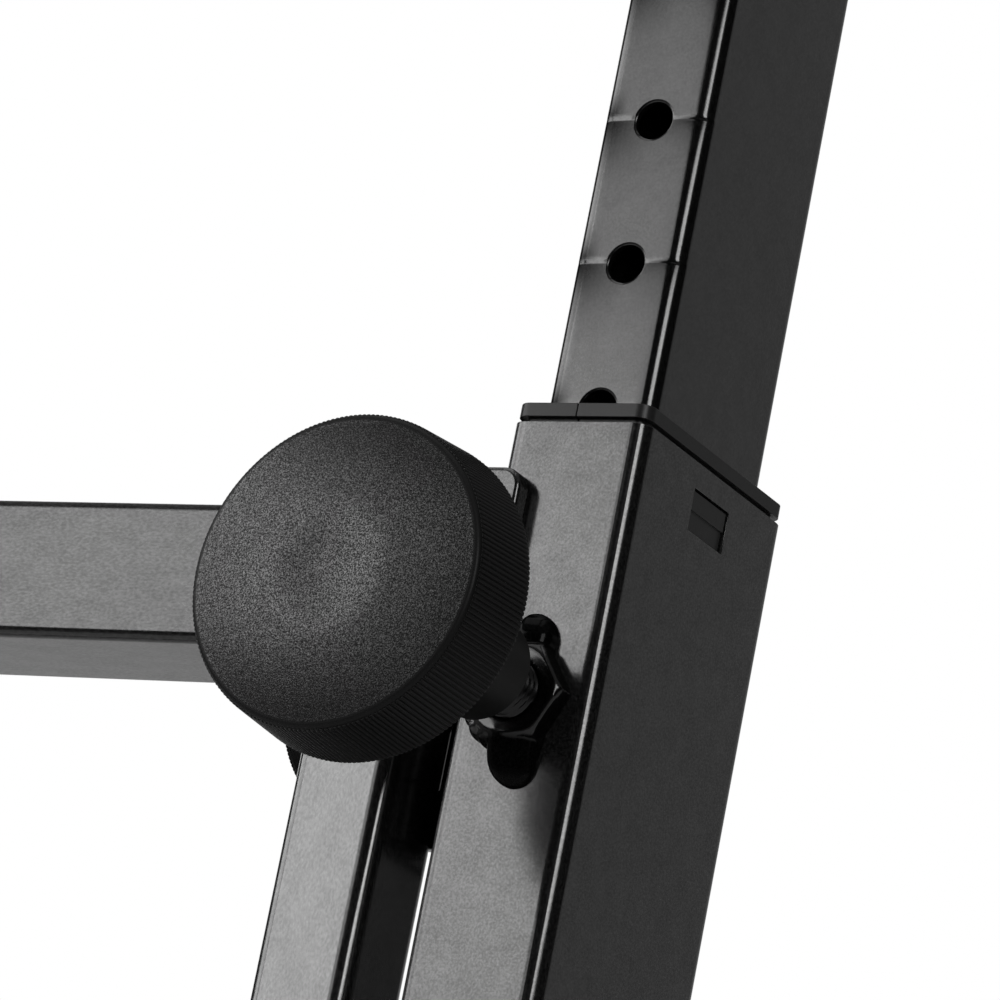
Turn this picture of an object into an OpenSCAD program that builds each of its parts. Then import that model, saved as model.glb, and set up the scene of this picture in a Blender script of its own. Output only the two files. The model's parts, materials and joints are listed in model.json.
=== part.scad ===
// Folding Z keyboard stand of painted steel tube.
// Two leaning legs stand on floor tubes and carry support arms on inner legs
// that slide up and down. A middle frame that slides in width joins the legs
// through hinges, so that each leg folds flat behind the frame.
// Side parts are drawn in the leg's own directions: x across the leg, y from
// its front face to its back, z along it, with zero at the top of the outer leg.

/* [Stand] */
// Backward lean of the legs, in degrees
leg_tilt = 21.5; // [15:0.5:25]
// From the middle of the stand to the middle of each leg
leg_offset = 400; // [395:5:450]
// Outside corner radius of the leg and arm tubes
edge_r = 3; // [2:0.5:4]

/* [Outer leg] */
// Width of the outer leg
leg_w = 30; // [29.5:0.5:34]
// Depth of the outer leg, front to back
leg_d = 60; // [58:1:64]
// Wall of the outer leg
leg_wall = 1.5; // [1.2:0.1:1.6]
// Length of its front edge, from the floor tube to the top
leg_len = 480; // [460:10:560]
// Height of the window for the collar's lug
window_h = 8.5; // [7:0.5:10]
// Width of that window
window_w = 14.4; // [12:0.5:18]
// From the top of the leg to the top of the window
window_drop = 5; // [4:0.5:7]

/* [Inner leg] */
// Width of the inner leg
mast_w = 24; // [23:0.5:24.5]
// Depth of the inner leg
mast_d = 48; // [46:1:50]
// Wall of the inner leg
mast_wall = 1.5; // [1.2:0.1:2]
// Length of its front edge above the outer leg
mast_show = 255; // [240:5:290]
// Length of the inner leg inside the outer one
mast_inside = 225; // [200:5:240]
// Diameter of the height holes
hole_d = 8; // [7.8:0.1:9]
// Distance from one height hole to the next
hole_pitch = 30; // [25:1:32]
// Height holes below the screw
holes_below = 4; // [2:1:4]
// Height holes above the screw
holes_above = 5; // [3:1:5]

/* [Leg collar] */
// Thickness of the flange on the crossbar guides
flange_t = 2.7; // [2:0.1:4]
// Thickness of the flange on the leg collars
rim_t = 3.6; // [2.5:0.1:5]
// How far the flange stays inside the leg's outline
flange_inset = 0.5; // [0.2:0.1:1]
// Length of the collar inside the leg
collar_len = 30; // [20:1:36]

/* [Clamping knobs] */
// Outside diameter of the knurled rim
knob_d = 62.3; // [56:0.1:66]
// Diameter at the edge of the knob's face
knob_face_d = 59.4; // [52:0.1:60]
// Thickness of the knob's rim
knob_t = 15.5; // [12:0.5:20]
// Depth of the shallow dish in the knob's face
dish_depth = 1.4; // [0.5:0.1:3]
// Rounding at the edge of the knob's face
knob_edge_r = 1.2; // [0.5:0.1:2]
// Diameter of the knob's hub
hub_d = 20; // [18:0.5:22]
// Length of the hub behind the rim
hub_len = 38.4; // [34:0.2:42]
// Outside diameter of the screw's thread
screw_d = 12; // [10:0.5:13]
// Length of the screw inside the knob
screw_grip = 24; // [15:1:30]
// Width across the corners of the weld nuts
nut_corner_w = 21; // [19:0.5:23]
// Height of the weld nuts
nut_h = 5.3; // [4:0.1:8]
// From the top of the leg down to the height screw
height_screw_drop = 55.6; // [50:0.1:60]
// Diameter of the height screw's plain tip
tip_d = 7.6; // [7:0.1:7.7]
// Gap between the hub and the nut, as loosened for a change of height
height_knob_gap = 11.7; // [8:0.1:14]
// Gap between the hub and the nut when a width screw is tight
width_knob_gap = 0.5; // [0.3:0.1:1]

/* [Middle frame] */
// Width and height of the crossbars
cross_w = 29; // [28.5:0.5:32]
// Wall of the crossbars
cross_wall = 1.5; // [1.2:0.1:1.8]
// Corner radius of the crossbars
cross_r = 1.8; // [1.6:0.1:3]
// Width and depth of the slide bars and uprights
bar_w = 22; // [20:0.5:23]
// Wall of the slide bars and uprights
bar_wall = 1.5; // [1.2:0.1:2]
// Corner radius of the slide bars and uprights
bar_r = 3; // [2:0.5:4]
// Length of the slide bars
bar_len = 180; // [160:5:220]
// From the top of the leg down to the upper crossbar's axis
upper_drop = 32.2; // [30:0.2:40]
// From the top of the leg down to the lower crossbar's axis
lower_drop = 358; // [330:2:380]
// Gap between each upright and its leg
upright_gap = 13.7; // [13:0.1:16]
// From a crossbar's end to the axis of its width screw
width_screw_inset = 18.9; // [18:0.1:24]
// Length of the crossbar guides inside the crossbars
guide_len = 11; // [8:0.5:11]

/* [Hinges and fold locks] */
// Thickness of the hinge leaves
leaf_t = 2.5; // [2:0.1:3]
// Height of each hinge
hinge_h = 36; // [30:1:40]
// Outside diameter of the hinge knuckles
knuckle_d = 12; // [11:0.2:12.4]
// Diameter of the hinge pins
pin_d = 6; // [5:0.1:7]
// Diameter of the hinge pins' heads
pin_head_d = 9; // [8:0.5:11]
// Thickness of those heads
pin_head_t = 1.5; // [1:0.1:2.5]
// Width of the leaf on the leg
leg_leaf_w = 22; // [18:1:26]
// Free space left for the folded leg behind the crossbars
fold_room = 3.3; // [2.5:0.1:5]
// How far the lower stop bracket stands out from the leg
bracket_t = 9; // [8.5:0.5:13]
// How far the upper stop bracket stands out from the leg
stop_t = 4.5; // [4:0.5:8]
// Height of the stop brackets
bracket_h = 34; // [32:1:36]
// How far the middle of a bracket lies above its crossbar's axis
bracket_rise = 4.3; // [1:0.1:5]
// Wall of the stop brackets
bracket_wall = 2.5; // [2:0.1:3]
// Corner radius of the stop brackets
bracket_r = 4; // [3:0.5:8]
// How far a stop bracket reaches over the leg's front face
bracket_reach = 7.5; // [7:0.1:10]
// Diameter of the lock screws' thread
lock_d = 8; // [7:0.5:9]
// Diameter of the lock screws' plain tips
lock_tip_d = 6; // [5:0.1:6.5]
// Diameter of the lock knobs
lock_knob_d = 30; // [26:1:34]
// Thickness of the lock knobs
lock_knob_t = 12; // [10:0.5:15]

/* [Support arms] */
// Width of the support arms
arm_w = 25; // [24:0.5:28]
// Height of the support arms
arm_h = 35; // [30:1:40]
// Wall of the support arms
arm_wall = 1.5; // [1.2:0.1:2]
// Length of the support arms
arm_len = 370; // [320:5:380]
// How far an arm reaches behind its inner leg
arm_overhang = 14; // [10:1:25]
// Height of the stop lip above the arm
lip_h = 26; // [15:1:35]
// Thickness of the stop lip
lip_t = 8; // [6:0.5:12]
// Length of the rubber pads on the arms
pad_len = 60; // [40:5:80]
// Thickness of the rubber pads
pad_t = 3; // [2:0.5:5]

/* [Floor tubes] */
// Width of the floor tubes
foot_w = 30; // [28:1:34]
// Height of the floor tubes
foot_h = 40; // [35:1:45]
// Wall of the floor tubes
foot_wall = 1.5; // [1.2:0.1:2]
// Length of the floor tubes
foot_len = 420; // [400:5:425]
// How far a floor tube reaches in front of its leg
foot_toe = 30; // [30:1:60]
// Length of the rubber boots on the floor tubes
boot_len = 30; // [22:1:30]
// Wall of the rubber boots
boot_wall = 1.5; // [1:0.1:1.8]
// Thickness of the boots' soles
sole_t = 8; // [5:0.5:12]

/* [Hidden] */
$fn = 48;

// Clearances: pieces that slide, pieces that fit and pins that turn
slide_fit = 0.3;
seat_fit = 0.2;
pin_fit = 0.05;
// Gap at the ends of pieces that slide up to each other
end_play = 0.5;
// Extra reach of cuts past the surfaces that they cut
over = 1;
// Room that is larger than any piece, for level cuts
room = 900;

// Places of the leg
foot_top_z = sole_t + foot_h;
leg_top_z = foot_top_z + leg_len * cos(leg_tilt);
mast_gap = (leg_d - mast_d) / 2;
arm_base_z = leg_top_z - mast_gap * sin(leg_tilt) + mast_show * cos(leg_tilt);
// Distances from the leg's top front edge, along the floor
leg_run = leg_len * sin(leg_tilt);
foot_front = -leg_run - foot_toe;
foot_back = foot_front + foot_len;
mast_back = mast_gap * cos(leg_tilt) + mast_show * sin(leg_tilt) + mast_d / cos(leg_tilt);
arm_back = mast_back + arm_overhang;
arm_front = arm_back - arm_len;
stand_front = min(arm_front - lip_t, foot_front - boot_wall);
stand_back = max(arm_back + arm_wall, foot_back + boot_wall);
leg_y = -(stand_front + stand_back) / 2;

// Places across the leg, from its middle
leg_side = -leg_w / 2;
upright_right = leg_side - upright_gap;
upright_left = upright_right - bar_w;
upright_mid = upright_right - bar_w / 2;
cross_end = upright_left - end_play - flange_t - seat_fit;
width_screw_u = cross_end - width_screw_inset;
bar_front = (cross_w - bar_w) / 2;
bar_back = bar_front + bar_w;
hinge_u = leg_side - upright_gap / 2;
hinge_v = cross_w + fold_room - upright_gap / 2;
upper_hinge_w = -upper_drop - bar_w / 2 - hinge_h / 2;
lower_hinge_w = -lower_drop + cross_w + hinge_h / 2;
bracket_w = bracket_reach + upright_gap + bar_w;
bracket_mid = leg_side + bracket_reach - bracket_w / 2;
upright_top = -upper_drop + cross_w / 2;
upright_bottom = -lower_drop - cross_w / 2;
cap_t = 2;

// Screws: the height screw's shoulder stops at the inner leg
shoulder_travel = 7.2;
shoulder_v = mast_gap - shoulder_travel - slide_fit;
height_tip_v = mast_gap - end_play;
height_hub_v = -nut_h - height_knob_gap;
width_tip_v = bar_back + pin_fit;
width_hub_v = cross_w + nut_h + width_knob_gap;
lock_hub_len = 8;
lock_hub_d = 15;
// The height nut's corners, as it was welded on
nut_turn = 4;
lock_nut_h = 4.5;
lock_nut_corner_w = 15;
lock_gap = 6.5;
lock_grip = 14;
lock_shoulder_v = bar_front - lock_gap - end_play;
lock_tip_v = bar_front - end_play;
lock_hub_v = -bracket_t - lock_gap;

// Places of the two sides and of the leaning parts

module right() {
    translate([leg_offset, 0, 0]) children();
}

module left() {
    mirror([1, 0, 0]) right() children();
}

module leaning() {
    translate([0, leg_y, leg_top_z]) rotate([-leg_tilt, 0, 0]) children();
}

// Turns a sketch so that it is extruded forward from the plane y = 0
module forward(depth) {
    rotate([90, 0, 0]) linear_extrude(depth) children();
}

// Turns a sketch so that it is extruded backward from the plane y = 0
module backward(depth) {
    translate([0, depth, 0]) forward(depth) children();
}

module rounded_rect(w, d, r) {
    square([w - 2 * r, d], center = true);
    square([w, d - 2 * r], center = true);
    for (x = [-1, 1], y = [-1, 1])
        translate([x * (w / 2 - r), y * (d / 2 - r)]) circle(r);
}

// A rectangular tube along z, centred on the axis
module box_tube(w, d, wall, r, len) {
    linear_extrude(len)
        difference() {
            rounded_rect(w, d, r);
            rounded_rect(w - 2 * wall, d - 2 * wall, r - wall / 2);
        }
}

module hex_nut(corner_w, h, bore) {
    difference() {
        cylinder(h = h, d = corner_w, $fn = 6);
        translate([0, 0, -over]) cylinder(h = h + 2 * over, d = bore);
    }
}

// A large knob along z, with its hub's end at zero
module large_knob() {
    face_r = knob_face_d / 2;
    back_r = knob_d / 2;
    top = hub_len + knob_t;
    difference() {
        union() {
            cylinder(h = hub_len + over, d = hub_d);
            translate([0, 0, hub_len])
                rotate_extrude()
                polygon(concat(
                    [[0, 0], [back_r - knob_edge_r / 2, 0], [back_r, knob_edge_r / 2]],
                    [[face_r + knob_edge_r / 2, knob_t - knob_edge_r]],
                    [[face_r - knob_edge_r / 2, knob_t]],
                    [[face_r - 2 * knob_edge_r, knob_t]],
                    [for (s = [1:-0.125:0])
                        [s * (face_r - 3 * knob_edge_r),
                         knob_t - dish_depth * (1 - s * s)]]));
        }
        translate([0, 0, -over]) cylinder(h = screw_grip + over, d = screw_d + 2 * pin_fit);
    }
}

// Middle frame

module crossbar(drop) {
    half = leg_offset + cross_end;
    difference() {
        leaning()
            translate([-half, cross_w / 2, -drop])
            rotate([0, 90, 0])
            box_tube(cross_w, cross_w, cross_wall, cross_r, 2 * half);
        for (side = [-1, 1])
            leaning()
                translate([side * (leg_offset + width_screw_u), cross_w / 2, -drop])
                backward_hole(screw_d + 2 * slide_fit);
    }
}

module backward_hole(d) {
    rotate([-90, 0, 0]) cylinder(h = cross_w, d = d);
}

module upper_crossbar() {
    color("#3a3a3c") crossbar(upper_drop);
}

module lower_crossbar() {
    color("#3a3a3c") crossbar(lower_drop);
}

// Plastic guide in a crossbar's end, along +x
module crossbar_guide() {
    inner = cross_w - 2 * cross_wall;
    rotate([0, 90, 0])
        difference() {
            union() {
                translate([0, 0, seat_fit])
                    linear_extrude(flange_t)
                    rounded_rect(cross_w - flange_inset, cross_w - flange_inset, cross_r);
                translate([0, 0, -guide_len])
                    linear_extrude(guide_len + seat_fit)
                    rounded_rect(inner - 2 * seat_fit, inner - 2 * seat_fit, cross_r - cross_wall / 2);
            }
            translate([0, 0, -guide_len - over])
                linear_extrude(guide_len + flange_t + 3 * over)
                rounded_rect(bar_w + 2 * slide_fit, bar_w + 2 * slide_fit, bar_r);
        }
}

module crossbar_guides() {
    color("#2a2a2a")
        for (side = [0, 1], drop = [upper_drop, lower_drop])
            mirror([side, 0, 0])
                right()
                leaning()
                translate([cross_end, cross_w / 2, -drop])
                crossbar_guide();
}

module width_nuts() {
    color("#333333")
        for (side = [0, 1], drop = [upper_drop, lower_drop])
            mirror([side, 0, 0])
                right()
                leaning()
                translate([width_screw_u, cross_w, -drop])
                rotate([-90, 0, 0])
                hex_nut(nut_corner_w, nut_h, screw_d + 2 * pin_fit);
}

module slide_bar(drop) {
    color("#48484a")
        leaning()
        translate([upright_left - bar_len, cross_w / 2, -drop])
        rotate([0, 90, 0])
        box_tube(bar_w, bar_w, bar_wall, bar_r, bar_len);
}

module upright() {
    color("#4a4a4c")
        leaning()
        difference() {
            translate([upright_mid, cross_w / 2, upright_bottom])
                box_tube(bar_w, bar_w, bar_wall, bar_r, upright_top - upright_bottom);
            translate([upright_mid, bar_front - over, -lower_drop])
                rotate([-90, 0, 0])
                cylinder(h = bar_wall + 2 * over, d = lock_tip_d + 2 * slide_fit);
        }
}

// Plug with a head, pushed into the end of a bar along +z
module bar_plug(head_w, head_t) {
    inner = bar_w - 2 * bar_wall - 2 * seat_fit;
    linear_extrude(head_t) rounded_rect(head_w, head_w, bar_r);
    translate([0, 0, head_t - over])
        linear_extrude(inner / 2 + over)
        rounded_rect(inner, inner, bar_r - bar_wall / 2);
}

module frame_plugs() {
    glide_w = cross_w - 2 * cross_wall - 2 * slide_fit;
    glide_t = 4 * cap_t;
    color("#242424")
        leaning() {
            translate([upright_mid, cross_w / 2, upright_bottom - cap_t])
                bar_plug(bar_w, cap_t);
            translate([upright_mid, cross_w / 2, upright_top + cap_t])
                mirror([0, 0, 1])
                bar_plug(bar_w, cap_t);
            for (drop = [upper_drop, lower_drop])
                translate([upright_left - bar_len - glide_t, cross_w / 2, -drop])
                    rotate([0, 90, 0])
                    bar_plug(glide_w, glide_t);
        }
}

// Hinges: two knuckles of each belong to the frame, the middle one to the leg

knuckle_h = hinge_h / 3;
knuckle_gap = slide_fit / 2;

module pin_hole() {
    translate([0, 0, -over]) cylinder(h = hinge_h + 2 * over, d = pin_d + 2 * pin_fit);
}

module frame_leaf() {
    clear_r = knuckle_d / 2 + 2 * slide_fit;
    leaf_y = bar_back - hinge_v;
    leaf_left = upright_left + bar_r - hinge_u;
    difference() {
        union() {
            translate([leaf_left, leaf_y, 0])
                cube([-clear_r - leaf_left, leaf_t, hinge_h]);
            for (low = [0, 2 * knuckle_h + knuckle_gap])
                translate([leaf_left, leaf_y, low])
                    cube([-leaf_left, leaf_t, knuckle_h - knuckle_gap]);
            for (low = [0, 2 * knuckle_h + knuckle_gap])
                translate([0, 0, low])
                    cylinder(h = knuckle_h - knuckle_gap, d = knuckle_d);
        }
        pin_hole();
    }
}

module leg_leaf() {
    clear_r = knuckle_d / 2 + 2 * slide_fit;
    face_x = upright_gap / 2;
    difference() {
        union() {
            translate([face_x - leaf_t, clear_r, 0])
                cube([leaf_t, leg_leaf_w, hinge_h]);
            translate([face_x - leaf_t, 0, knuckle_h + knuckle_gap])
                cube([leaf_t, clear_r + over, knuckle_h - 2 * knuckle_gap]);
            translate([0, 0, knuckle_h + knuckle_gap])
                cylinder(h = knuckle_h - 2 * knuckle_gap, d = knuckle_d);
        }
        pin_hole();
    }
}

module hinge_pin() {
    translate([0, 0, -pin_head_t]) cylinder(h = pin_head_t, d = pin_head_d);
    translate([0, 0, -pin_head_t / 2]) cylinder(h = hinge_h + pin_head_t, d = pin_d);
    translate([0, 0, hinge_h]) cylinder(h = pin_head_t, d = pin_head_d);
}

module at_hinges() {
    leaning()
        for (mid = [upper_hinge_w, lower_hinge_w])
            translate([hinge_u, hinge_v, mid - hinge_h / 2]) children();
}

module frame_hinge_leaves() {
    color("#3c3c3e") at_hinges() frame_leaf();
}

module leg_hinge_leaves() {
    color("#3c3c3e") at_hinges() leg_leaf();
}

module hinge_pins() {
    color("#b0b2b4") at_hinges() hinge_pin();
}

// Outer leg and what is fixed to it

module outer_leg() {
    window_z = -window_drop - window_h / 2;
    color("#424244")
        difference() {
            leaning()
                translate([0, leg_d / 2, -leg_len])
                box_tube(leg_w, leg_d, leg_wall, edge_r, leg_len);
            leaning()
                translate([0, -over, -height_screw_drop])
                rotate([-90, 0, 0])
                cylinder(h = leg_wall + 2 * over, d = screw_d + 2 * slide_fit);
            leaning()
                translate([0, leg_d / 2, window_z])
                cube([leg_w + 2 * over, window_w, window_h], center = true);
            translate([-room / 2, leg_y - room / 2, foot_top_z - room])
                cube([room, room, room]);
        }
}

module leg_collar() {
    inner_w = leg_w - 2 * leg_wall;
    inner_d = leg_d - 2 * leg_wall;
    lug_w = window_w - 4 * seat_fit;
    lug_h = window_h - 4 * seat_fit;
    lug_z = -window_drop - window_h / 2;
    color("#262626")
        leaning()
        translate([0, leg_d / 2, 0])
        difference() {
            union() {
                translate([0, 0, 2 * seat_fit])
                    linear_extrude(rim_t)
                    rounded_rect(leg_w - flange_inset, leg_d - 2 * flange_inset, edge_r);
                translate([0, 0, -collar_len])
                    linear_extrude(collar_len + 3 * seat_fit)
                    rounded_rect(inner_w - 2 * seat_fit, inner_d - 2 * seat_fit, edge_r - leg_wall / 2);
                translate([0, 0, lug_z + lug_h / 4])
                    cube([leg_w - 2 * slide_fit, lug_w, lug_h / 2], center = true);
                translate([0, 0, lug_z - lug_h / 4])
                    cube([leg_w - leg_wall, lug_w, lug_h / 2], center = true);
            }
            translate([0, 0, -collar_len - over])
                linear_extrude(collar_len + rim_t + 3 * over)
                rounded_rect(mast_w + 2 * slide_fit, mast_d + 2 * slide_fit, edge_r);
        }
}

module weld_nuts() {
    color("#1c1c1e")
        leaning() {
            translate([0, 0, -height_screw_drop])
                rotate([90, 0, 0])
                rotate(nut_turn)
                hex_nut(nut_corner_w, nut_h, screw_d + 2 * pin_fit);
            translate([upright_mid, -bracket_t + bracket_wall + lock_nut_h, -lower_drop])
                rotate([90, 0, 0])
                hex_nut(lock_nut_corner_w, lock_nut_h, lock_d + 2 * pin_fit);
        }
}

module floor_tube() {
    color("#404042")
        translate([0, leg_y + foot_back, sole_t + foot_h / 2])
        rotate([90, 0, 0])
        box_tube(foot_w, foot_h, foot_wall, edge_r, foot_len);
}

// Rubber boot on the end of a floor tube, open toward +y
module floor_boot() {
    outer_w = foot_w + 2 * boot_wall;
    outer_h = foot_h + sole_t + boot_wall;
    difference() {
        translate([0, boot_len - boot_wall, outer_h / 2])
            rotate([90, 0, 0])
            linear_extrude(boot_len)
            rounded_rect(outer_w, outer_h, edge_r + boot_wall);
        translate([0, boot_len, sole_t + foot_h / 2])
            rotate([90, 0, 0])
            linear_extrude(boot_len)
            rounded_rect(foot_w + seat_fit, foot_h + seat_fit, edge_r);
    }
}

module floor_boots() {
    color("#1e1e1e") {
        translate([0, leg_y + foot_front, 0]) floor_boot();
        translate([0, leg_y + foot_back, 0]) mirror([0, 1, 0]) floor_boot();
    }
}

// Dished steel bracket, open toward the leg
module stop_bracket(thick) {
    depth = thick - bracket_wall;
    difference() {
        forward(thick)
            rounded_rect(bracket_w, bracket_h, bracket_r);
        translate([0, over, 0])
            forward(depth + over)
            rounded_rect(
                bracket_w - 2 * bracket_wall,
                bracket_h - 2 * bracket_wall,
                bracket_r - bracket_wall);
    }
}

module stop_brackets() {
    color("#404042")
        leaning()
        difference() {
            union() {
                translate([bracket_mid, 0, bracket_rise - upper_drop]) stop_bracket(stop_t);
                translate([bracket_mid, 0, bracket_rise - lower_drop]) stop_bracket(bracket_t);
            }
            translate([upright_mid, over, -lower_drop])
                rotate([90, 0, 0])
                cylinder(h = bracket_t + 2 * over, d = lock_d + 2 * slide_fit);
        }
}

// Rubber pad inside each bracket, which meets the upright
module stop_pads() {
    pad_h = (cross_w - lock_nut_corner_w) / 2 - over;
    pad_z = (cross_w + lock_nut_corner_w) / 4;
    color("#1a1a1a")
        leaning()
        for (at = [[upper_drop, stop_t], [lower_drop, bracket_t]]) {
            pad_d = at[1] - bracket_wall + bar_front - slide_fit;
            translate([upright_mid, bar_front - slide_fit - pad_d / 2, pad_z - at[0]])
                cube([bar_w / 2, pad_d, pad_h], center = true);
        }
}

// Inner leg and what slides with it

module inner_leg() {
    color("#2e2e30")
        difference() {
            leaning()
                translate([0, leg_d / 2, -mast_inside])
                box_tube(mast_w, mast_d, mast_wall, edge_r,
                         mast_inside + mast_show + mast_d);
            leaning()
                for (k = [-holes_below:holes_above])
                    translate([0, mast_gap - over, -height_screw_drop + k * hole_pitch])
                        rotate([-90, 0, 0])
                        cylinder(h = mast_wall + 2 * over, d = hole_d);
            translate([-room / 2, leg_y - room / 2, arm_base_z])
                cube([room, room, room]);
        }
}

module inner_leg_glide() {
    glide_t = 6 * cap_t;
    color("#262626")
        leaning()
        translate([0, leg_d / 2, -mast_inside - glide_t]) {
            linear_extrude(glide_t)
                rounded_rect(
                    leg_w - 2 * leg_wall - 2 * slide_fit,
                    leg_d - 2 * leg_wall - 2 * slide_fit,
                    edge_r - leg_wall / 2);
            translate([0, 0, glide_t - over])
                linear_extrude(glide_t + over)
                rounded_rect(
                    mast_w - 2 * mast_wall - 2 * seat_fit,
                    mast_d - 2 * mast_wall - 2 * seat_fit,
                    edge_r - mast_wall / 2);
        }
}

module support_arm() {
    color("#404042")
        translate([0, leg_y + arm_back, arm_base_z + arm_h / 2])
        rotate([90, 0, 0])
        box_tube(arm_w, arm_h, arm_wall, edge_r, arm_len);
}

// Front cap with a stop lip, and a plug in the arm's back end
module arm_caps() {
    socket_len = 3 * lip_t;
    cap_w = arm_w + 2 * pad_t;
    inner_w = arm_w - 2 * arm_wall - 2 * seat_fit;
    inner_h = arm_h - 2 * arm_wall - 2 * seat_fit;
    color("#1c1c1c") {
        translate([0, leg_y + arm_front, arm_base_z])
            difference() {
                union() {
                    translate([0, 0, (arm_h + lip_h - pad_t) / 2])
                        forward(lip_t)
                        rounded_rect(cap_w, arm_h + lip_h + pad_t, edge_r + pad_t);
                    translate([0, -over, arm_h / 2])
                        backward(socket_len + over)
                        rounded_rect(cap_w, arm_h + 2 * pad_t, edge_r + pad_t);
                }
                translate([0, 0, arm_h / 2])
                    backward(socket_len + over)
                    rounded_rect(arm_w + seat_fit, arm_h + seat_fit, edge_r);
            }
        translate([0, leg_y + arm_back, arm_base_z + arm_h / 2]) {
            backward(arm_wall) rounded_rect(arm_w, arm_h, edge_r);
            translate([0, over, 0])
                forward(inner_w / 2 + over)
                rounded_rect(inner_w, inner_h, edge_r - arm_wall / 2);
        }
    }
}

// Rubber saddles on the arms' upper side
module arm_pads() {
    skirt = arm_h / 3;
    pad_places = [arm_front + arm_len / 4, arm_back - arm_len / 4];
    color("#1a1a1a")
        for (y = pad_places)
            translate([0, leg_y + y - pad_len / 2, arm_base_z])
                difference() {
                    translate([0, 0, arm_h + pad_t - (skirt + pad_t) / 2])
                        backward(pad_len)
                        rounded_rect(arm_w + 2 * pad_t, skirt + pad_t, pad_t);
                    translate([0, -over, arm_h / 2])
                        backward(pad_len + 2 * over)
                        rounded_rect(arm_w + seat_fit, arm_h, edge_r);
                }
}

// Screws and knobs

module height_screw() {
    color("#9a9c9e")
        leaning()
        translate([0, 0, -height_screw_drop])
        rotate([-90, 0, 0]) {
            translate([0, 0, height_hub_v - screw_grip + over])
                cylinder(h = shoulder_v - height_hub_v + screw_grip - over, d = screw_d);
            translate([0, 0, shoulder_v - over])
                cylinder(h = height_tip_v - shoulder_v + over, d = tip_d);
        }
}

module height_knob() {
    color("#222222")
        leaning()
        translate([0, height_hub_v, -height_screw_drop])
        rotate([90, 0, 0])
        large_knob();
}

module width_screw(drop) {
    color("#9a9c9e")
        leaning()
        translate([width_screw_u, width_tip_v, -drop])
        rotate([-90, 0, 0])
        cylinder(h = width_hub_v + screw_grip - over - width_tip_v, d = screw_d);
}

module width_knob(drop) {
    color("#222222")
        leaning()
        translate([width_screw_u, width_hub_v, -drop])
        rotate([-90, 0, 0])
        large_knob();
}

module lock_screw() {
    color("#9a9c9e")
        leaning()
        translate([upright_mid, 0, -lower_drop])
        rotate([-90, 0, 0]) {
            translate([0, 0, lock_hub_v - lock_grip + over])
                cylinder(h = lock_shoulder_v - lock_hub_v + lock_grip - over, d = lock_d);
            translate([0, 0, lock_shoulder_v - over])
                cylinder(h = lock_tip_v - lock_shoulder_v + over, d = lock_tip_d);
        }
}

module lock_knob() {
    flute_d = lock_knob_d / 5;
    flutes = 8;
    color("#222222")
        leaning()
        translate([upright_mid, lock_hub_v, -lower_drop])
        rotate([90, 0, 0])
        difference() {
            union() {
                cylinder(h = lock_hub_len + over, d = lock_hub_d);
                translate([0, 0, lock_hub_len])
                    cylinder(h = lock_knob_t, d = lock_knob_d);
            }
            translate([0, 0, -over])
                cylinder(h = lock_grip + over, d = lock_d + 2 * pin_fit);
            for (k = [0:flutes - 1])
                rotate(k * 360 / flutes)
                    translate([lock_knob_d / 2 + flute_d / 4, 0, lock_hub_len - over])
                    cylinder(h = lock_knob_t + 2 * over, d = flute_d);
        }
}

upper_crossbar();
lower_crossbar();
crossbar_guides();
width_nuts();
right() slide_bar(upper_drop);  // upper_slide_bar_right
right() slide_bar(lower_drop);  // lower_slide_bar_right
right() upright();  // upright_right
right() frame_plugs();  // frame_plugs_right
right() frame_hinge_leaves();  // frame_hinge_leaves_right
right() hinge_pins();  // hinge_pins_right
right() outer_leg();  // outer_leg_right
right() leg_collar();  // leg_collar_right
right() weld_nuts();  // weld_nuts_right
right() floor_tube();  // floor_tube_right
right() floor_boots();  // floor_boots_right
right() leg_hinge_leaves();  // leg_hinge_leaves_right
right() stop_brackets();  // stop_brackets_right
right() stop_pads();  // stop_pads_right
right() inner_leg();  // inner_leg_right
right() inner_leg_glide();  // inner_leg_glide_right
right() support_arm();  // support_arm_right
right() arm_caps();  // arm_caps_right
right() arm_pads();  // arm_pads_right
right() height_screw();  // height_screw_right
right() height_knob();  // height_knob_right
right() lock_screw();  // lock_screw_right
right() lock_knob();  // lock_knob_right
right() width_screw(upper_drop);  // upper_width_screw_right
right() width_knob(upper_drop);  // upper_width_knob_right
right() width_screw(lower_drop);  // lower_width_screw_right
right() width_knob(lower_drop);  // lower_width_knob_right
left() slide_bar(upper_drop);  // upper_slide_bar_left
left() slide_bar(lower_drop);  // lower_slide_bar_left
left() upright();  // upright_left
left() frame_plugs();  // frame_plugs_left
left() frame_hinge_leaves();  // frame_hinge_leaves_left
left() hinge_pins();  // hinge_pins_left
left() outer_leg();  // outer_leg_left
left() leg_collar();  // leg_collar_left
left() weld_nuts();  // weld_nuts_left
left() floor_tube();  // floor_tube_left
left() floor_boots();  // floor_boots_left
left() leg_hinge_leaves();  // leg_hinge_leaves_left
left() stop_brackets();  // stop_brackets_left
left() stop_pads();  // stop_pads_left
left() inner_leg();  // inner_leg_left
left() inner_leg_glide();  // inner_leg_glide_left
left() support_arm();  // support_arm_left
left() arm_caps();  // arm_caps_left
left() arm_pads();  // arm_pads_left
left() height_screw();  // height_screw_left
left() height_knob();  // height_knob_left
left() lock_screw();  // lock_screw_left
left() lock_knob();  // lock_knob_left
left() width_screw(upper_drop);  // upper_width_screw_left
left() width_knob(upper_drop);  // upper_width_knob_left
left() width_screw(lower_drop);  // lower_width_screw_left
left() width_knob(lower_drop);  // lower_width_knob_left
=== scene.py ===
# A keyboard stand with two leaning legs, seen close up at the right leg's collar and knob.
import json
import math

import bmesh
import bpy
from mathutils import Matrix, Vector


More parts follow.
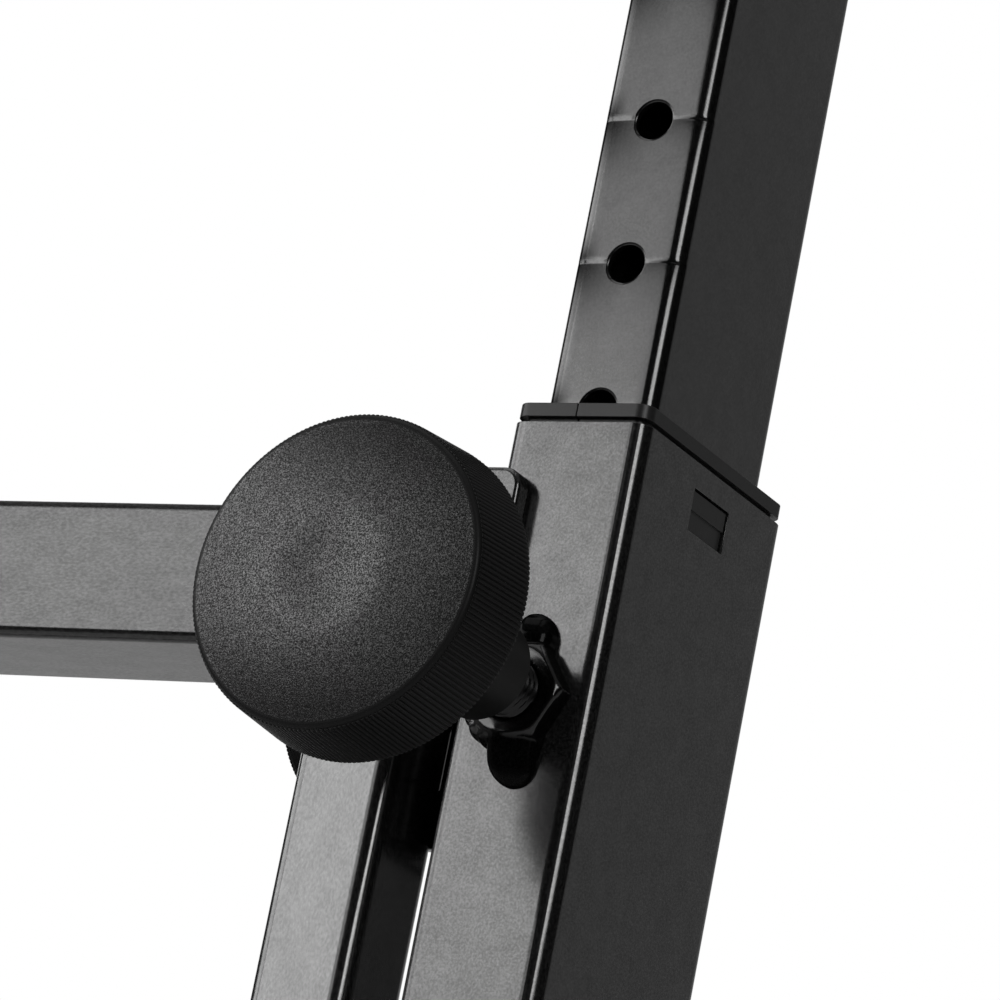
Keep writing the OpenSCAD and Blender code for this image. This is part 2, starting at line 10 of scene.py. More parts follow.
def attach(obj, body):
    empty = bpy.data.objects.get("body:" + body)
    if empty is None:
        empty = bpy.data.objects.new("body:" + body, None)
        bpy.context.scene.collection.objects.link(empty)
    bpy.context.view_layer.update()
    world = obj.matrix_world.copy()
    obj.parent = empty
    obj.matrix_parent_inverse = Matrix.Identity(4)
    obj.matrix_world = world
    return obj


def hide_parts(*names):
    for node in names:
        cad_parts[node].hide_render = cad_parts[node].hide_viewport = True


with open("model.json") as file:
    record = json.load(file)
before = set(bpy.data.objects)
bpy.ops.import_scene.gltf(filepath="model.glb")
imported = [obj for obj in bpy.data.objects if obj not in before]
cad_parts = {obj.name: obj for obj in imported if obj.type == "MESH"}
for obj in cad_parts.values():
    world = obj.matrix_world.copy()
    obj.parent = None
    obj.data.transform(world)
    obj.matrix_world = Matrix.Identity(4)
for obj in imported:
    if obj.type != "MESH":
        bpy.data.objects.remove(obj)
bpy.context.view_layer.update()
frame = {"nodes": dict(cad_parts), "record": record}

# ---- Camera and room
# The camera stands a metre from the right leg, which leans back. Three soft lamps at the left
# are what the paint's front faces mirror, and one at the right gives the bright line along
# the rounded corners.
LEAN = math.radians(21.5)
LEG_TOP = Vector((0.400, -0.0011047, 0.4946004))
BACK = Vector((0, math.cos(LEAN), -math.sin(LEAN)))
ALONG = Vector((0, math.sin(LEAN), math.cos(LEAN)))
OUT = Vector((1, 0, 0))


def on_leg(out, back, along):
    """A place beside the right leg, from the middle of its top front edge."""
    return LEG_TOP + OUT * out + BACK * back + ALONG * along


scene = bpy.context.scene
scene.view_settings.view_transform = "Standard"
camera = bpy.data.objects.new("camera", bpy.data.cameras.new("camera"))
scene.collection.objects.link(camera)
camera.data.sensor_width = 36
camera.data.lens = 203.912
camera.data.clip_start = 0.05
camera.data.clip_end = 50
turn = math.radians(30.854)
dip = math.radians(-1.758)
ahead = Vector((-math.sin(turn) * math.cos(dip), math.cos(turn) * math.cos(dip), math.sin(dip)))
aside = Vector((math.cos(turn), math.sin(turn), 0))
camera.matrix_world = Matrix((aside, aside.cross(ahead), -ahead)).transposed().to_4x4()
camera.location = on_leg(0.542837, -0.879181, -0.326756)
scene.camera = camera


def lamp(name, aim, place, size, light):
    """A soft box of that width and height, turned to what it lights."""
    data = bpy.data.lights.new(name, "AREA")
    data.shape = "RECTANGLE"
    data.size, data.size_y = size
    data.energy = light * size[0] * size[1] * math.pi
    made = bpy.data.objects.new(name, data)
    made.location = place
    made.rotation_mode = "QUATERNION"
    made.rotation_quaternion = (Vector(aim) - Vector(place)).to_track_quat("-Z", "Y")
    made.visible_camera = False
    scene.collection.objects.link(made)


lit = on_leg(-0.02, 0, 0)
LAMP_FAR = 2.0
mirrored_way = Vector((-0.5126, -0.6483, 0.5627))
level = Vector((-0.7844, 0.6202, 0))
upward = level.cross(mirrored_way)
for name, left, up, size, light in (("left_softbox", 0.15, -0.22, (0.70, 0.56), 6.3),
                                    ("fading_softbox", -0.475, -0.22, (0.55, 0.56), 2.4),
                                    ("upper_softbox", -0.125, 0.22, (1.25, 0.32), 3.4)):
    lamp(name, lit, lit + LAMP_FAR * mirrored_way + level * left + upward * up, size, light)
lamp("wrap_softbox", lit, lit + LAMP_FAR * Vector((-0.87, -0.23, 0.45)), (1.25, 1.0), 3.8)
lamp("right_softbox", lit, lit + LAMP_FAR * Vector((0.7087, -0.4957, 0.5026)), (0.85, 0.7), 9.5)
lamp("top_softbox", (0, 0, 0.2), (0.0, 0.3, 2.6), (1.8, 1.8), 1.4)


class Tone:
    """A socket in a finish. Arithmetic on it adds Math nodes."""

    def __init__(self, finish, socket):
        self.finish, self.socket = finish, socket

    def math(self, operation, first, second):
        values = {0: first, 1: second}
        return self.finish.node("ShaderNodeMath", {"operation": operation}, values)

    def __add__(self, other):
        return self.math("ADD", self, other)

    def __rsub__(self, other):
        return self.math("SUBTRACT", other, self)

    def __mul__(self, other):
        return self.math("MULTIPLY", self, other)

    def between(self, low, high):
        """0 below low, 1 above high, and smooth between them."""
        values = {"Value": self, "From Min": low, "From Max": high}
        return self.finish.node("ShaderNodeMapRange", {"interpolation_type": "SMOOTHSTEP"}, values)


# Sockets of a colour Mix node, which share their names with those of other kinds
MIX_FIRST, MIX_SECOND, MIX_COLOUR = 6, 7, 2


class Finish:
    """One material, made node by node."""

    def __init__(self, name):
        self.made = bpy.data.materials.new(name)
        self.made.use_nodes = True
        self.made.node_tree.nodes.clear()

    def node(self, kind, settings=None, sockets=None, out=0):
        """A new node with these settings and inputs, as the Tone of its output."""
        new = self.made.node_tree.nodes.new(kind)
        for key, value in (settings or {}).items():
            setattr(new, key, value)
        for key, value in (sockets or {}).items():
            if isinstance(value, Tone):
                self.made.node_tree.links.new(value.socket, new.inputs[key])
            else:
                new.inputs[key].default_value = value
        return Tone(self, new.outputs[out])

    def place(self):
        """Where the shaded point lies on its own piece."""
        return self.node("ShaderNodeTexCoord", out="Object")

    def noise(self, at, size, detail=2.0, roughness=0.5):
        """Cloudy pattern, 0 to 1, whose lumps are about that many metres across."""
        values = {"Vector": at, "Scale": 1 / size, "Detail": detail, "Roughness": roughness}
        return self.node("ShaderNodeTexNoise", {}, values)

    def stretched(self, at, scale):
        """That place with each of its axes scaled."""
        return self.node("ShaderNodeVectorMath", {"operation": "MULTIPLY"}, {0: at, 1: scale})

    def mixed(self, share, first, second):
        """A colour between the two, which is all the second where share is 1."""
        values = {0: share, MIX_FIRST: (*first, 1), MIX_SECOND: (*second, 1)}
        return self.node("ShaderNodeMix", {"data_type": "RGBA"}, values, out=MIX_COLOUR)

    def bump(self, height, depth, below=None):
        """The surface's direction with that relief, in metres, on top of another one."""
        values = {"Height": height, "Distance": depth, "Strength": 1.0}
        if below is not None:
            values["Normal"] = below
        return self.node("ShaderNodeBump", {}, values)

    def surface(self, **sockets):
        """The material, with a Principled shader whose inputs have these values."""
        named = {key.replace("_", " "): value for key, value in sockets.items()}
        return self.finished(self.node("ShaderNodeBsdfPrincipled", {}, named))

    def finished(self, shader):
        """The material, with that shader as its surface."""
        new = self.made.node_tree.nodes.new("ShaderNodeOutputMaterial")
        self.made.node_tree.links.new(shader.socket, new.inputs["Surface"])
        return self.made


def sheet(name, corners, material):
    """A flat sheet of the room, which isn't part of the stand."""
    mesh = bpy.data.meshes.new(name)
    mesh.from_pydata([tuple(c) for c in corners], [], [tuple(range(len(corners)))])
    made = bpy.data.objects.new(name, mesh)
    mesh.materials.append(material)
    scene.collection.objects.link(made)
    return made


# The floor is plain pale paper
paper = Finish("floor_paper")
fibres = paper.noise(paper.place(), 0.012, 3)
floor_paper = paper.surface(
    Base_Color=paper.mixed(fibres, (0.74, 0.74, 0.74), (0.80, 0.80, 0.80)), Roughness=0.9)
FLOOR = 2.4
SQUARE = ((-1, -1), (1, -1), (1, 1), (-1, 1))
sheet("floor", [(x * FLOOR, y * FLOOR, 0) for x, y in SQUARE], floor_paper)

# Black cards out of shot, which the paint mirrors as the dark lines along its corners
black = Finish("card_black")
nap = black.noise(black.place(), 0.05)
card_black = black.surface(Base_Color=black.mixed(nap, (0.004,) * 3, (0.008,) * 3), Roughness=1.0)


def card(name, towards, distance, width, height):
    """A black card that faces the lit place, out of the camera's sight."""
    towards = Vector(towards).normalized()
    across = towards.cross(Vector((0, 0, 1))).normalized()
    rise = across.cross(towards)
    middle = lit + towards * distance
    made = sheet(name, [middle + across * (x * width / 2) + rise * (y * height / 2)
                        for x, y in SQUARE], card_black)
    made.visible_camera = False


card("front_card", (0.10, -0.87, 0.48), 2.4, 5.6, 2.8)
card("right_card", (0.97, 0.17, 0.18), 2.3, 3.2, 2.4)
card("left_card", (-0.93, 0.36, 0.15), 2.3, 1.7, 2.2)

# The backdrop is a white sheet behind the leg. Only the paint and the plastic mirror it,
# and the camera sees the plain white room behind.
white = Finish("backdrop_white")
glossy_ray = white.node("ShaderNodeLightPath", out="Is Glossy Ray")
plain = white.node("ShaderNodeBsdfDiffuse", {}, {"Color": (0.8, 0.8, 0.8, 1)})
glow = white.node("ShaderNodeEmission", {}, {"Color": (1, 1, 1, 1), "Strength": 1.0})
white.finished(white.node("ShaderNodeMixShader", {}, {0: glossy_ray, 1: plain, 2: glow}))
BACKDROP_FAR, BACKDROP_LEFT, BACKDROP_RIGHT, BACKDROP_RISE = 3.2, 1.1, 0.9, 0.9
far = camera.location + ahead * BACKDROP_FAR
left_end, right_end = far - aside * BACKDROP_LEFT, far + aside * BACKDROP_RIGHT
down, up = Vector((0, 0, -far.z)), Vector((0, 0, BACKDROP_RISE))
backdrop = sheet("backdrop", [left_end + down, right_end + down, right_end + up, left_end + up],
                 white.made)
backdrop.visible_camera = False

world = bpy.data.worlds.new("studio")
scene.world = world
world.use_nodes = True
room = world.node_tree
light_path, tone = room.nodes.new("ShaderNodeLightPath"), room.nodes.new("ShaderNodeMix")
tone.data_type = "RGBA"
tone.inputs[MIX_FIRST].default_value = (0.28, 0.28, 0.28, 1)
tone.inputs[MIX_SECOND].default_value = (1, 1, 1, 1)
room.links.new(light_path.outputs["Is Camera Ray"], tone.inputs[0])
room.links.new(tone.outputs[MIX_COLOUR], room.nodes["Background"].inputs["Color"])

# ---- Outer legs
# Box tube of steel, bent from sheet and welded, in thick glossy black paint. The collar's
# lug looks out of a window near the top, and the foot end is welded to the floor tube.

# The body of the frame that carries each node
carrier = {node: body for body, nodes in frame["record"]["behaviour"]["bodies"].items()
           for node in nodes}


def black_paint(name, ripple, peel, grey=0.006, gloss=0.5, mottle=0.8, painted_shade_attribute=None,
                drawn=(1, 1, 1)):
    """Stoved gloss paint: broad ripples, fine orange peel, dust and a cloudy clear skin.

    It mirrors less, as painted shade, where the named shade attribute nears 1, and drawn
    below 1 draws its pattern out along that axis.
    """
    paint = Finish(name)
    at = paint.stretched(paint.place(), drawn)
    broad = paint.noise(at, 0.009, 2)
    fine = paint.noise(at, 0.0011, 2)
    specks = paint.noise(at, 0.00045, 1)
    dull = paint.noise(at, 0.030, 3)
    patches = paint.noise(at, 0.0045, 3)
    colour = paint.mixed(specks.between(0.35, 0.75), (grey * 0.5,) * 3, (grey * 1.9,) * 3)
    shine = dull * 0.08 + specks * 0.05 + 0.13
    haze = (specks * mottle + patches * (mottle * 0.5) + (1 - mottle * 0.75)) * gloss
    base = gloss * 0.3
    if painted_shade_attribute:
        # Painted shade: where the attribute nears 1, both skins of the paint mirror less
        left_bright = 1 - paint.node("ShaderNodeAttribute", {"attribute_name": painted_shade_attribute}, out="Fac")
        haze, base = haze * left_bright, left_bright * base
    skin = paint.bump(fine, peel, paint.bump(broad, ripple))
    return paint.surface(Base_Color=colour, Roughness=shine, Specular_IOR_Level=base, Normal=skin,
                         Coat_Weight=haze * 1.4, Coat_Roughness=0.14, Coat_Normal=skin)


def bend(angle, radius):
    """A point on a rolled tube's corner: how far along the side, and how far in from it.

    The bend opens out toward the flats, as sheet steel's does, and is tightest halfway.
    """
    tight, wide = 0.98 * radius, 0.45 * radius
    reach = tight + wide / 2
    along = (reach * math.sin(angle)
             + wide / 4 * (math.sin(5 * angle) / 5 + math.sin(3 * angle) / 3))
    inward = (reach * (1 - math.cos(angle))
              + wide / 4 * ((1 - math.cos(5 * angle)) / 5 - (1 - math.cos(3 * angle)) / 3))
    return along, inward


def rolled(mesh, middle, across, through, width, depth, radius):
    """Takes the tube's true arcs to the bend's own curve."""
    slack, off_arc = 1e-6, 3e-5
    end = bend(math.pi / 2, radius)[0]
    for vertex in mesh.vertices:
        off = vertex.co - middle
        x, y = off.dot(across), off.dot(through)
        dx, dy = abs(x) - (width / 2 - radius), abs(y) - (depth / 2 - radius)
        if min(dx, dy) < -slack or abs(math.hypot(dx, dy) - radius) > off_arc:
            continue
        along, inward = bend(math.atan2(dx, dy), radius)
        new_x = math.copysign(width / 2 - end + along, x)
        new_y = math.copysign(depth / 2 - inward, y)
        vertex.co += across * (new_x - x) + through * (new_y - y)


def shown(name, mesh, material, nodes, edge=0.0):
    """The finished piece, on the body of the solids that it stands for.

    It is smooth over gentle bends, and sharp wherever its surface turns by more.
    """
    made = bpy.data.objects.new(name, mesh)
    scene.collection.objects.link(made)
    mesh.materials.clear()
    mesh.materials.append(material)
    if edge:
        worn = made.modifiers.new("edge", "BEVEL")
        worn.width, worn.segments, worn.limit_method = edge, 3, "ANGLE"
        worn.angle_limit = math.radians(35)
    for face in mesh.polygons:
        face.use_smooth = True
    mesh.set_sharp_from_angle(angle=math.radians(40 if edge else 32))
    weighted = made.modifiers.new("flat_faces", "WEIGHTED_NORMAL")
    weighted.keep_sharp = True
    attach(made, carrier[nodes[0]])
    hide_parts(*nodes)
    return made


def joined_copy(node):
    """The node's own shape as a new mesh, with its triangles merged into whole faces."""
    mesh = frame["nodes"][node].data.copy()
    mesh.name = "dressed_" + node
    joined = bmesh.new()
    joined.from_mesh(mesh)
    bmesh.ops.remove_doubles(joined, verts=joined.verts, dist=2e-6)
    bmesh.ops.dissolve_limit(joined, angle_limit=math.radians(0.5),
                             verts=joined.verts, edges=joined.edges)
    joined.to_mesh(mesh)
    joined.free()
    return mesh


def dressed(node, material, edge=0.0, tube=None):
    """The node's own shape in its finish, with its tube's corners rolled."""
    mesh = joined_copy(node)
    if tube:
        rolled(mesh, *tube)
    return shown("dressed_" + node, mesh, material, [node], edge)


def on_side(side, place):
    """That place of the right side, or its mirror image on the left."""
    return place if side == "right" else Vector((-place.x, place.y, place.z))


SIDES = ("right", "left")
LEG_W, LEG_D, LEG_R = 0.030, 0.060, 0.003
leg_paint = black_paint("leg_paint", 0.00002, 0.0000015, mottle=1.2)
for side in SIDES:
    tube = (on_side(side, on_leg(0, LEG_D / 2, 0)), OUT, BACK, LEG_W, LEG_D, LEG_R)
    dressed("outer_leg_" + side, leg_paint, edge=0.0003, tube=tube)

# ---- Leg collars
# Moulded nylon sleeve in the outer leg's mouth, with a split flange on its rim. A
# stepped lug springs into the leg's window and holds it.


def moulded(name, grey, grain=0.0009, depth=0.00001, roughness=0.42, gloss=0.3):
    """Plain black moulding with a slightly cloudy, finely grained skin."""
    plastic = Finish(name)
    at = plastic.place()
    cloud = plastic.noise(at, 0.012, 3)
    grains = plastic.noise(at, grain, 2)
    colour = plastic.mixed(cloud, (grey * 0.8,) * 3, (grey * 1.25,) * 3)
    return plastic.surface(Base_Color=colour, Roughness=cloud * 0.12 + (roughness - 0.06),
                           Specular_IOR_Level=gloss, Normal=plastic.bump(grains, depth))


def cut(mesh, cutter):
    """The mesh with the cutter's shapes taken out of it."""
    body = bpy.data.objects.new("body", mesh)
    tool = bpy.data.objects.new("tool", cutter)
    for each in (body, tool):
        scene.collection.objects.link(each)
    taken = body.modifiers.new("cut", "BOOLEAN")
    taken.object, taken.solver, taken.operation = tool, "EXACT", "DIFFERENCE"
    depsgraph = bpy.context.evaluated_depsgraph_get()
    result = bpy.data.meshes.new_from_object(body.evaluated_get(depsgraph))
    for each in (body, tool):
        bpy.data.objects.remove(each)
    return result


def ready(name, bm):
    """The built shape as a mesh of its own."""
    mesh = bpy.data.meshes.new(name)
    bm.to_mesh(mesh)
    bm.free()
    return mesh


collar_nylon = moulded("collar_nylon", 0.012, roughness=0.32, gloss=0.17)
RIM_GAP, RIM_FOOT = 0.00080, 0.0010
SPLIT_W, SPLIT_D, SPLIT_H = 0.00022, 0.007, 0.0048
for side in SIDES:
    collar = joined_copy("leg_collar_" + side)
    for vertex in collar.vertices:
        if 0 < (vertex.co - LEG_TOP).dot(ALONG) < RIM_FOOT:
            vertex.co += ALONG * RIM_GAP
    split = bmesh.new()
    bmesh.ops.create_cube(split, size=1.0)
    split_at = on_side(side, on_leg(-0.0010, 0.0025, 0.0023))
    for vertex in split.verts:
        vertex.co = (split_at + OUT * (vertex.co.x * SPLIT_W) + BACK * (vertex.co.y * SPLIT_D)
                     + ALONG * (vertex.co.z * SPLIT_H))
    shown("split_collar_" + side, cut(collar, ready("split", split)), collar_nylon,
          ["leg_collar_" + side], edge=0.0006)

# ---- Inner legs
# Smaller box tube that slides in the outer leg. Its row of holes is punched through the
# front wall, and each punch has buckled the wall in a crease from the hole to both corners.
MAST_W, MAST_D, MAST_WALL, MAST_R = 0.024, 0.048, 0.0015, 0.0028
MAST_GAP, MAST_FOOT, MAST_TOP, ARM_BASE_Z = 0.006, -0.225, 0.245, 0.7296579
HOLE_R, HOLE_PITCH, PIN_HOLE, HOLES = 0.004, 0.0302, -0.0556, range(-4, 6)
HOLE_LEVELS = [PIN_HOLE + HOLE_PITCH * k for k in HOLES]


def clamped(share):
    """The share, held between 0 and 1."""
    return min(1.0, max(0.0, share))


def loft(bm, rings):
    """Quads between rings of equal length, each ring closed on itself."""
    rows = [[bm.verts.new(p) for p in ring] for ring in rings]
    for a, b in zip(rows, rows[1:]):
        for k in range(len(a)):
            m = (k + 1) % len(a)
            bm.faces.new((a[k], a[m], b[m], b[k]))
    return rows


def box_ring(width, depth, radius):
    """Points round a rolled box section, from the right end of its front side."""
    corner_steps, front_steps = 10, 16
    ring = []
    end = bend(math.pi / 2, radius)[0]
    half = width / 2 - end
    for x_side, y_side in ((1, -1), (1, 1), (-1, 1), (-1, -1)):
        for k in range(corner_steps + 1):
            share = 1 - k / corner_steps if x_side == y_side else k / corner_steps
            along, inward = bend(math.pi / 2 * share, radius)
            ring.append((x_side * (half + along), y_side * (depth / 2 - inward)))
    return ring + [(-half + 2 * half * k / front_steps, -depth / 2) for k in range(1, front_steps)]


CREASE_DEPTH, CREASE_FADE, CREASE_STEP, RIGHT_CREASE = 0.00030, 0.0036, 0.0012, 0.55
CREASE_START, CREASE_RUN, CREASE_END, CREASE_TAPER = 0.0030, 0.0080, 0.0118, 0.0020
BOW_DEPTH, BOW_STEP, BOW_START, BOW_RUN = 0.00016, 0.0006, 0.004, 0.005
FRONT_REACH, SAME_LEVEL = 0.0045, 1e-7


def buckled(x, y, below, above):
    """Where y lies once the front wall is pushed in, so far below a hole and above another.

    A crease fades slowly below its hole's level and stops short above it. The right half
    also bows in a little, more and more up to the next hole.
    """
    front = clamped((-y - MAST_D / 2 + FRONT_REACH) / FRONT_REACH)
    valley = max(math.exp(-below / CREASE_FADE), 1 - above / CREASE_STEP)
    edge = max(0.0, (abs(x) - CREASE_START) / CREASE_RUN)
    held = (1.0 if x < 0 else RIGHT_CREASE) * clamped((CREASE_END - abs(x)) / CREASE_TAPER)
    y += front * CREASE_DEPTH * held * valley * edge
    if x > BOW_START:
        slack = max(1 - below / HOLE_PITCH, 1 - above / BOW_STEP, 0.0)
        y += front * BOW_DEPTH * slack * ((x - BOW_START) / BOW_RUN) ** 2
    return y


def mast_mesh():
    """The right inner leg without its holes, with close rings where the creases are."""
    bm = bmesh.new()
    near = (0, 0.0002, 0.0004, 0.0007, 0.0011, 0.0016,
            0.0024, 0.0034, 0.0048, 0.0068, 0.0095, 0.013)
    places = {round(hole + way * d, 6) for hole in HOLE_LEVELS for d in near for way in (-1, 1)}
    places = [MAST_FOOT] + [p for p in sorted(places) if MAST_FOOT < p <= MAST_TOP]

    def ring(at, inset):
        """The section at that level, of the outside or, set in by the wall, of the lining."""
        flat = box_ring(MAST_W - 2 * inset, MAST_D - 2 * inset, MAST_R - inset / 2)
        if inset:
            return [on_leg(x, LEG_D / 2 + y, at) for x, y in flat]
        below = min((h - at for h in HOLE_LEVELS if h - at > -SAME_LEVEL), default=1)
        above = min((at - h for h in HOLE_LEVELS if at - h > SAME_LEVEL), default=1)
        return [on_leg(x, LEG_D / 2 + buckled(x, y, below, above), at) for x, y in flat]

    def top(ring_here):
        """The last ring, cut level under the arm."""
        return [p + ALONG * ((ARM_BASE_Z - p.z) / ALONG.z) for p in ring_here]

    outer = [ring(at, 0) for at in places]
    outer.append(top(outer[-1]))
    inner = [ring(places[0], MAST_WALL), top(ring(places[-1], MAST_WALL))]
    skin, lining = loft(bm, outer), loft(bm, inner)
    for a, b in ((skin[0], lining[0]), (lining[-1], skin[-1])):
        for k in range(len(a)):
            m = (k + 1) % len(a)
            bm.faces.new((a[m], a[k], b[k], b[m]))
    bmesh.ops.recalc_face_normals(bm, faces=bm.faces)
    return bm


def lathe(bm, profile, matrix, steps):
    """Turns a closed profile of (radius, height) round z."""
    rows = []
    for k in range(steps):
        a = 2 * math.pi * k / steps
        rows.append([bm.verts.new(matrix @ Vector((r * math.cos(a), r * math.sin(a), h)))
                     for r, h in profile])
    for a, b in zip(rows, rows[1:] + rows[:1]):
        for k in range(len(profile)):
            m = (k + 1) % len(profile)
            bm.faces.new((a[k], b[k], b[m], a[m]))
    bmesh.ops.remove_doubles(bm, verts=bm.verts, dist=1e-7)
    bmesh.ops.recalc_face_normals(bm, faces=bm.faces)


def facing(out, back, along, rearward=False):
    """A place on the leg whose z axis points out of its front, or out of its back."""
    z = BACK if rearward else -BACK
    turned = Matrix((OUT, z.cross(OUT), z)).transposed().to_4x4()
    turned.translation = on_leg(out, back, along)
    return turned


def mirrored_mesh(mesh, name):
    """The same shape for the left side."""
    flipped = mesh.copy()
    flipped.name = name
    flipped.transform(Matrix.Diagonal((-1, 1, 1, 1)))
    flipped.flip_normals()
    return flipped


# How dark and how far the painted shade beside the holes reaches
LEFT_DARK, LEFT_REACH, LEFT_FALL = 0.97, 0.0095, 1.8
RIGHT_DARK, RIGHT_REACH = 0.62, 0.0045
CORNER_DARK, CORNER_REACH, CORNER_START, CORNER_RUN = 0.95, 0.0050, 0.0062, 0.0030
DARK_DEPTH, DARK_HELD, MIDDLE_SHARE, HALF_FLAT, ON_LEVEL = 0.0012, 2.2, 0.3, 0.0105, 1e-5


def painted_shade_by_holes(out, back, along):
    """How much painted shade darkens the paint beside the holes, 0 to 1, by making it mirror less.

    The left half is dark below each hole's level and at the corner above it, the right half
    only just below. Round the corners it fades with depth.
    """
    gaps = [hole - along for hole in HOLE_LEVELS]
    below = min((max(g, 0.0) for g in gaps if g > -ON_LEVEL), default=1)
    above = min((-g for g in gaps if g < -ON_LEVEL), default=1)
    if out < 0:
        outward = MIDDLE_SHARE + (1 - MIDDLE_SHARE) * min(1.0, -out / HALF_FLAT)
        shade = LEFT_DARK * math.exp(-(below / LEFT_REACH) ** LEFT_FALL) * outward
        corner = clamped((-out - CORNER_START) / CORNER_RUN) * clamped(above / BOW_STEP - 1)
        shade = max(shade, CORNER_DARK * corner * math.exp(-(above / CORNER_REACH) ** 2))
    else:
        shade = RIGHT_DARK * math.exp(-below / RIGHT_REACH)
    return shade * clamped(DARK_HELD - max(0.0, back) / DARK_DEPTH)


# How much wider the punch is at each height, so that its hole has a rounded lip
HOLE_LIP = ((0, -0.004), (0, -0.00024), (0.00015, -0.00013), (0.0003, -0.00005),
            (0.00048, -0.00001), (0.0006, 0.0001), (0.0006, 0.002))
punches = bmesh.new()
for level_here in HOLE_LEVELS:
    lathe(punches, [(0, -0.004)] + [(HOLE_R + wider, z) for wider, z in HOLE_LIP] + [(0, 0.002)],
          facing(0, MAST_GAP, level_here), 40)
mast = cut(ready("mast", mast_mesh()), ready("punches", punches))
# Painted shade by the creases: the mast's paint mirrors less where this attribute nears 1
painted_crease_shade = mast.attributes.new("painted_crease_shade", "FLOAT", "POINT")
for vertex in mast.vertices:
    off = vertex.co - on_leg(0, MAST_GAP, 0)
    painted_crease_shade.data[vertex.index].value = painted_shade_by_holes(off.dot(OUT), off.dot(BACK), off.dot(ALONG))
mast_paint = black_paint("mast_paint", 0.00002, 0.000001, 0.0025, 0.49, 0.7, "painted_crease_shade")
shown("punched_inner_leg_right", mast, mast_paint, ["inner_leg_right"])
shown("punched_inner_leg_left", mirrored_mesh(mast, "mast_left"), mast_paint, ["inner_leg_left"])

# ---- Knobs
# Round moulded knobs with a straight knurl on the rim, a dimple in the middle of a crowned,
# spark-grained face, and a smooth hub that is pressed on the screw's end.
KNOB_R, FACE_R, KNOB_T, HUB_LEN, HUB_R = 0.0311, 0.0297, 0.0171, 0.0391, 0.010
RIBS, RIB_DEPTH, RIB_HALF, RIB_START = 200, 0.0003, 0.00040, 0.0006
CROWN, DIMPLE, DIMPLE_SHARE, FACE_STEPS = 0.0027, 0.0009, 0.46, 27
RIM_BACK, GRAIN_DROP, GRAIN_MARGIN = KNOB_R - RIB_DEPTH, 0.0002, 0.0010
WIDTH_SCREW_U, WIDTH_HUB_BACK, UPPER_BAR, LOWER_BAR = -0.073, 0.0348, -0.0322, -0.358


def grained_plastic(name, grey, grain, depth):
    """Black plastic: dull and plain, but spark-grained and brighter where "grained" is 1."""
    plastic = Finish(name)
    at = plastic.place()
    where = plastic.node("ShaderNodeAttribute", {"attribute_name": "grained"}, out="Fac")
    pits = plastic.noise(at, grain, 2, 0.6)
    plain = plastic.noise(at, 0.0016, 2)
    cloud = plastic.noise(at, 0.015, 2)
    speckle = pits.between(0.25, 0.8) * where + (1 - where) * 0.4
    colour = plastic.mixed(speckle, (grey * 0.4,) * 3, (grey * 2.2,) * 3)
    spark = pits.between(0.38, 0.72)
    height = pits * where + plain * 0.15
    skin = plastic.bump(height, depth)
    return plastic.surface(Base_Color=colour, Roughness=cloud * 0.10 + 0.40, Normal=skin,
                           Specular_IOR_Level=0.07, Coat_Weight=where * spark * 0.98 + 0.02,
                           Coat_Roughness=0.20, Coat_Normal=skin)


def evaluated(name, source):
    """A plain mesh of the object with its modifiers run, and the object gone."""
    depsgraph = bpy.context.evaluated_depsgraph_get()
    made = bpy.data.meshes.new_from_object(source.evaluated_get(depsgraph))
    made.name = name
    bpy.data.objects.remove(source)
    return made


def ribbed(body_mesh, rib_mesh, count, radius, material):
    """The body with that many ribs stood round its axis."""
    tree = bpy.data.node_groups.new("ribs_round_rim", "GeometryNodeTree")
    face = tree.interface
    face.new_socket("Geometry", in_out="INPUT", socket_type="NodeSocketGeometry")
    number = face.new_socket("Rib count", in_out="INPUT", socket_type="NodeSocketInt")
    rim = face.new_socket("Rim radius", in_out="INPUT", socket_type="NodeSocketFloat")
    rib = face.new_socket("Rib", in_out="INPUT", socket_type="NodeSocketObject")
    finish = face.new_socket("Finish", in_out="INPUT", socket_type="NodeSocketMaterial")
    face.new_socket("Geometry", in_out="OUTPUT", socket_type="NodeSocketGeometry")
    new, link = tree.nodes.new, tree.links.new
    given, result = new("NodeGroupInput"), new("NodeGroupOutput")
    circle = new("GeometryNodeMeshCircle")
    link(given.outputs["Rib count"], circle.inputs["Vertices"])
    link(given.outputs["Rim radius"], circle.inputs["Radius"])
    position, align = new("GeometryNodeInputPosition"), new("FunctionNodeAlignRotationToVector")
    align.axis = "X"
    align.pivot_axis = "Z"
    link(position.outputs[0], align.inputs["Vector"])
    info, spread = new("GeometryNodeObjectInfo"), new("GeometryNodeInstanceOnPoints")
    link(given.outputs["Rib"], info.inputs["Object"])
    link(circle.outputs["Mesh"], spread.inputs["Points"])
    link(info.outputs["Geometry"], spread.inputs["Instance"])
    link(align.outputs["Rotation"], spread.inputs["Rotation"])
    both, real, coat = (new("GeometryNodeJoinGeometry"), new("GeometryNodeRealizeInstances"),
                        new("GeometryNodeSetMaterial"))
    link(spread.outputs["Instances"], both.inputs[0])
    link(given.outputs["Geometry"], both.inputs[0])
    link(both.outputs[0], real.inputs[0])
    link(real.outputs[0], coat.inputs["Geometry"])
    link(given.outputs["Finish"], coat.inputs["Material"])
    link(coat.outputs[0], result.inputs[0])
    rib_object = bpy.data.objects.new("rib", rib_mesh)
    body = bpy.data.objects.new("body", body_mesh)
    scene.collection.objects.link(rib_object)
    scene.collection.objects.link(body)
    grown = body.modifiers.new("ribs", "NODES")
    grown.node_group = tree
    grown[number.identifier], grown[rim.identifier] = count, radius
    grown[rib.identifier], grown[finish.identifier] = rib_object, material
    made = evaluated("ribbed", body)
    bpy.data.objects.remove(rib_object)
    return made


